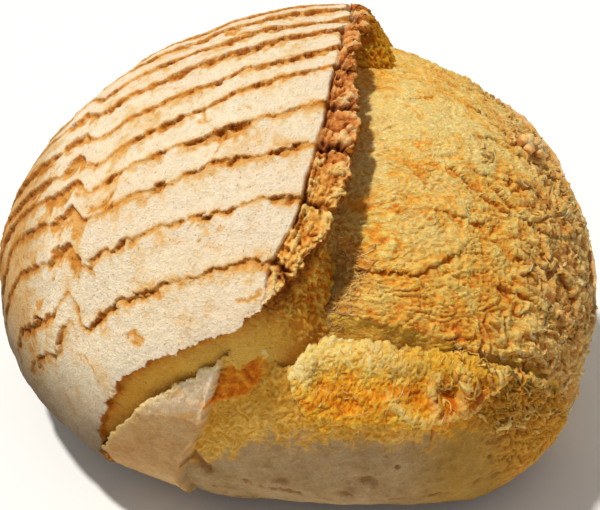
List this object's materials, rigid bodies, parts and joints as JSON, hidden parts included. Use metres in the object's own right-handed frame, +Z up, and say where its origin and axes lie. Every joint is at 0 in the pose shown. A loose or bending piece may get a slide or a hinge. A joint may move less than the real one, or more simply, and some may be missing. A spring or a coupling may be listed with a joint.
{
  "type": "sourdough loaf",
  "caption": "Round country loaf baked free-standing, with a raised ear along a long cut, a burst golden crumb beside it, a torn lip across the front and shallow scores over the floured crust.",
  "frame": {"origin": "middle of the footprint at the height of the flat base the loaf rests on", "axes": "+Z up, -Y towards the front with the torn lip, +X towards the side where the crumb burst open"},
  "size_m": [0.2336, 0.2226, 0.1466],
  "materials": {
    "floured_crust": "dry, floured crust"
  },
  "bodies": {
    "root": {"loaf": "floured_crust"}
  },
  "joints": []
}
